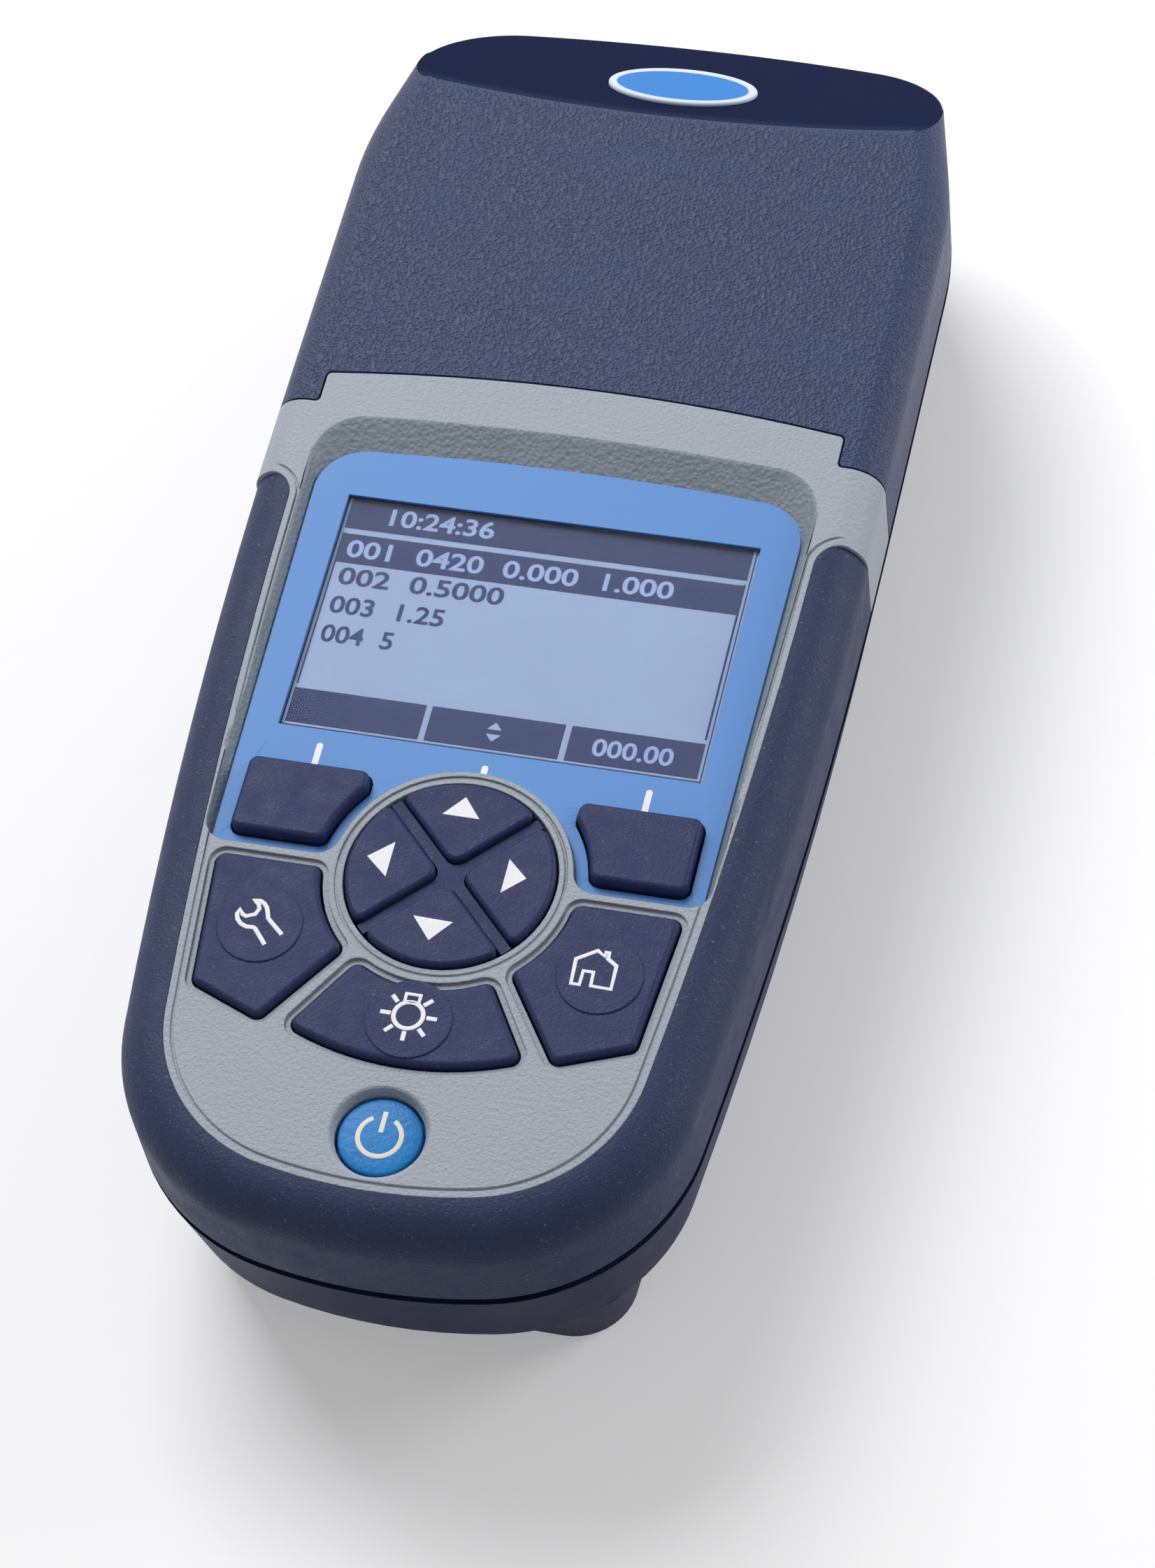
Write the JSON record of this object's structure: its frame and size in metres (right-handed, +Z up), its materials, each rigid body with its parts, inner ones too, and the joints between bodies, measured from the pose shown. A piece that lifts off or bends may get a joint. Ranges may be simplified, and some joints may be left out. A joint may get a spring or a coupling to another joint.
{
  "type": "benchtop colorimeter",
  "caption": "Flat battery colorimeter with a grey keypad face, arrow pad, liquid crystal display, wrap-round rubber grip and a lift-off cap over a vertical sample well.",
  "frame": {"origin": "centre of the footprint at the height of the table that the feet stand on", "axes": "+Z up, +Y from the keypad end to the cap end, +X to the right as the keypad is read"},
  "size_m": [0.096, 0.231, 0.0489],
  "materials": {
    "cap_navy": "coarse leather-grain moulded dark slate",
    "badge_blue": "smooth, blank light-blue plate with a pale rim",
    "face_grey": "fine orange-peel moulded grey",
    "grip_rubber": "satin navy elastomer",
    "shell_navy": "fine-textured dark navy moulding",
    "seal_rubber": "matt black extrusion",
    "overlay_blue": "printed satin film, light blue",
    "window_clear": "clear hard-coated pane",
    "lcd_glass": "grey-blue reflective liquid crystal panel",
    "light_guide": "white light guide",
    "flex_film": "amber polyimide ribbon",
    "key_rubber": "mottled satin navy silicone",
    "power_blue": "lightly textured bright blue",
    "circuit_board": "solder-masked glass laminate",
    "chip_black": "epoxy packages",
    "steel": "plated steel",
    "brass": "knurled brass",
    "optic_black": "light-absorbing black moulding",
    "lamp_clear": "clear moulded lens",
    "cell_jacket": "plain unprinted jacket",
    "label_metal": "blank satin plate"
  },
  "bodies": {
    "housing": {"back_shell": "shell_navy", "shell_seal": "seal_rubber", "front_shell": "face_grey", "side_grip": "grip_rubber", "overlay_panel": "overlay_blue", "display_window": "window_clear", "display_glass": "lcd_glass", "display_backlight": "light_guide", "display_flex": "flex_film", "dpad_spider": "key_rubber", "main_board": "circuit_board", "key_switches": "steel", "board_chips": "chip_black", "buzzer": "chip_black", "board_screws": "steel", "well_deck": "optic_black", "cell_wiper": "seal_rubber", "optical_block": "optic_black", "led_board": "circuit_board", "detector_board": "circuit_board", "led_emitter": "lamp_clear", "photodiode": "chip_black", "optics_flex": "flex_film", "battery_tray": "optic_black", "battery_cells": "cell_jacket", "battery_contacts": "steel", "housing_screws": "steel", "threaded_inserts": "brass", "usb_socket": "steel", "port_flap_pin": "steel", "rubber_feet": "seal_rubber", "label_plate": "label_metal"},
    "measuring_cap": {"cap_shell": "cap_navy", "cap_badge": "badge_blue"},
    "battery_hatch": {"battery_door": "shell_navy", "battery_door_seal": "seal_rubber", "battery_door_screws": "steel"},
    "socket_flap": {"port_flap": "seal_rubber"},
    "key_up_cap": {"key_up": "key_rubber"},
    "key_down_cap": {"key_down": "key_rubber"},
    "key_left_cap": {"key_left": "key_rubber"},
    "key_right_cap": {"key_right": "key_rubber"},
    "key_soft_left_cap": {"key_soft_left": "key_rubber"},
    "key_soft_right_cap": {"key_soft_right": "key_rubber"},
    "key_settings_cap": {"key_settings": "key_rubber"},
    "key_home_cap": {"key_home": "key_rubber"},
    "key_backlight_cap": {"key_backlight": "key_rubber"},
    "key_power_cap": {"key_power": "power_blue"}
  },
  "joints": [
    {"name": "cap_lift", "type": "slide", "parent": "housing", "child": "measuring_cap", "axis": [0, 0, 1], "range_m": [0, 0.12]},
    {"name": "battery_hatch_drop", "type": "slide", "parent": "housing", "child": "battery_hatch", "axis": [0, 0, -1], "range_m": [0, 0.02]},
    {"name": "socket_flap_hinge", "type": "hinge", "parent": "housing", "child": "socket_flap", "pos_m": [-0.04502, 0.031, 0.01864], "axis": [0, -1, 0], "range_deg": [0, 95]},
    {"name": "key_up_press", "type": "slide", "parent": "housing", "child": "key_up_cap", "axis": [0, 0, -1], "range_m": [0, 0.0008], "stiffness_N_per_m": 400, "springref_m": -0.002},
    {"name": "key_down_press", "type": "slide", "parent": "housing", "child": "key_down_cap", "axis": [0, 0, -1], "range_m": [0, 0.0008], "stiffness_N_per_m": 400, "springref_m": -0.002},
    {"name": "key_left_press", "type": "slide", "parent": "housing", "child": "key_left_cap", "axis": [0, 0, -1], "range_m": [0, 0.0008], "stiffness_N_per_m": 400, "springref_m": -0.002},
    {"name": "key_right_press", "type": "slide", "parent": "housing", "child": "key_right_cap", "axis": [0, 0, -1], "range_m": [0, 0.0008], "stiffness_N_per_m": 400, "springref_m": -0.002},
    {"name": "key_soft_left_press", "type": "slide", "parent": "housing", "child": "key_soft_left_cap", "axis": [0, 0, -1], "range_m": [0, 0.0008], "stiffness_N_per_m": 400, "springref_m": -0.002},
    {"name": "key_soft_right_press", "type": "slide", "parent": "housing", "child": "key_soft_right_cap", "axis": [0, 0, -1], "range_m": [0, 0.0008], "stiffness_N_per_m": 400, "springref_m": -0.002},
    {"name": "key_settings_press", "type": "slide", "parent": "housing", "child": "key_settings_cap", "axis": [0, 0, -1], "range_m": [0, 0.0008], "stiffness_N_per_m": 400, "springref_m": -0.002},
    {"name": "key_home_press", "type": "slide", "parent": "housing", "child": "key_home_cap", "axis": [0, 0, -1], "range_m": [0, 0.0008], "stiffness_N_per_m": 400, "springref_m": -0.002},
    {"name": "key_backlight_press", "type": "slide", "parent": "housing", "child": "key_backlight_cap", "axis": [0, 0, -1], "range_m": [0, 0.0008], "stiffness_N_per_m": 400, "springref_m": -0.002},
    {"name": "key_power_press", "type": "slide", "parent": "housing", "child": "key_power_cap", "axis": [0, 0, -1], "range_m": [0, 0.0008], "stiffness_N_per_m": 400, "springref_m": -0.002}
  ]
}
